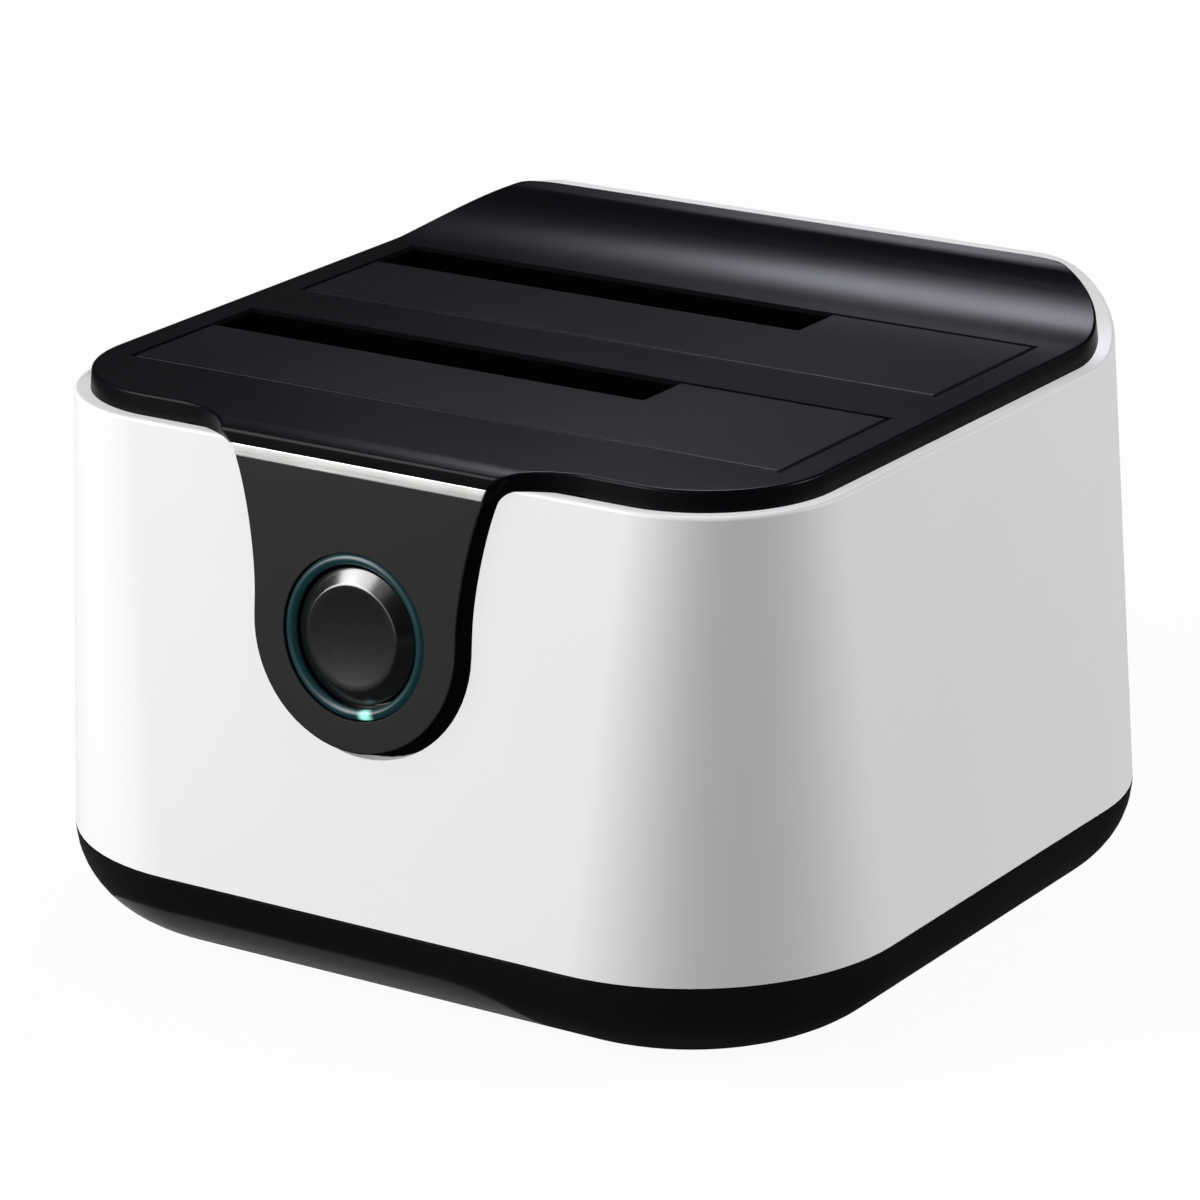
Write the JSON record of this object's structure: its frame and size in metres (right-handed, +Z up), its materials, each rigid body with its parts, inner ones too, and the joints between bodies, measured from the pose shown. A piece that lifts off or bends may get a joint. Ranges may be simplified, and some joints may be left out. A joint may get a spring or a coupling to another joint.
{
  "type": "hard drive docking station",
  "caption": "Desktop docking station with a white tapered case, dark swept deck, spring-flap bays for upright hard drives, and a front power button in a lit ring.",
  "frame": {"origin": "on the table, under the middle of the object's box", "axes": "+Z up, +Y from the front with the button towards the back with the sockets, +X to the right seen from the front"},
  "size_m": [0.1262, 0.1212, 0.0861],
  "materials": {
    "shell_white": "white satin-gloss moulding",
    "base_black": "black gloss moulding",
    "deck_black": "black satin moulding",
    "panel_grey": "fine matt dark grey",
    "door_grey": "fine matt dark grey",
    "strip_silver": "bright satin strip",
    "ring_teal": "translucent light guide",
    "button_black": "satin dark grey",
    "well_black": "matt black",
    "foot_rubber": "soft pad",
    "screw_steel": "zinc plated",
    "pin_steel": "drawn rod",
    "spring_steel": "music wire",
    "board_green": "solder mask",
    "connector_black": "moulded housing",
    "contact_gold": "gold plated",
    "chip_black": "moulded package",
    "can_silver": "drawn can",
    "coil_grey": "ferrite block",
    "socket_ivory": "moulded housing",
    "socket_steel": "folded shield",
    "port_blue": "moulded tongue",
    "jack_black": "moulded housing",
    "switch_white": "moulded stem",
    "led_clear": "clear cap",
    "ribbon_grey": "flat lead"
  },
  "bodies": {
    "housing": {"base_tray": "base_black", "rubber_feet": "foot_rubber", "outer_shell": "shell_white", "top_deck": "deck_black", "front_panel": "panel_grey", "trim_strip": "strip_silver", "light_ring": "ring_teal", "power_switch": "chip_black", "button_board": "board_green", "status_leds": "led_clear", "button_board_screws": "screw_steel", "button_ribbon": "ribbon_grey", "ribbon_sockets": "socket_ivory", "front_bay_well": "well_black", "rear_bay_well": "well_black", "well_screws": "screw_steel", "front_door_pin": "pin_steel", "rear_door_pin": "pin_steel", "front_door_spring": "spring_steel", "rear_door_spring": "spring_steel", "main_board": "board_green", "board_screws": "screw_steel", "front_drive_connector": "connector_black", "rear_drive_connector": "connector_black", "drive_contacts": "contact_gold", "bridge_chip": "chip_black", "capacitors": "can_silver", "power_inductor": "coil_grey", "crystal": "can_silver", "usb_socket": "socket_steel", "usb_tongue": "port_blue", "dc_jack": "jack_black", "dc_pin": "pin_steel", "rear_panel": "base_black", "case_screws": "screw_steel"},
    "front_door": {"front_door": "door_grey"},
    "rear_door": {"rear_door": "door_grey"},
    "power_button": {"power_button": "button_black", "switch_plunger": "switch_white"}
  },
  "joints": [
    {"name": "front_door_hinge", "type": "hinge", "parent": "housing", "child": "front_door", "pos_m": [0, -0.03972, 0.0752], "axis": [-1, 0, 0], "range_deg": [0, 90], "stiffness_Nm_per_rad": 0.003, "springref_deg": -40.11, "deforming": ["front_door_spring"]},
    {"name": "rear_door_hinge", "type": "hinge", "parent": "housing", "child": "rear_door", "pos_m": [0, -0.00082, 0.0752], "axis": [-1, 0, 0], "range_deg": [0, 90], "stiffness_Nm_per_rad": 0.003, "springref_deg": -40.11, "deforming": ["rear_door_spring"]},
    {"name": "button_press", "type": "slide", "parent": "housing", "child": "power_button", "axis": [0, 0.9962, -0.0866], "range_m": [0, 0.0012], "stiffness_N_per_m": 800, "springref_m": -0.001}
  ]
}
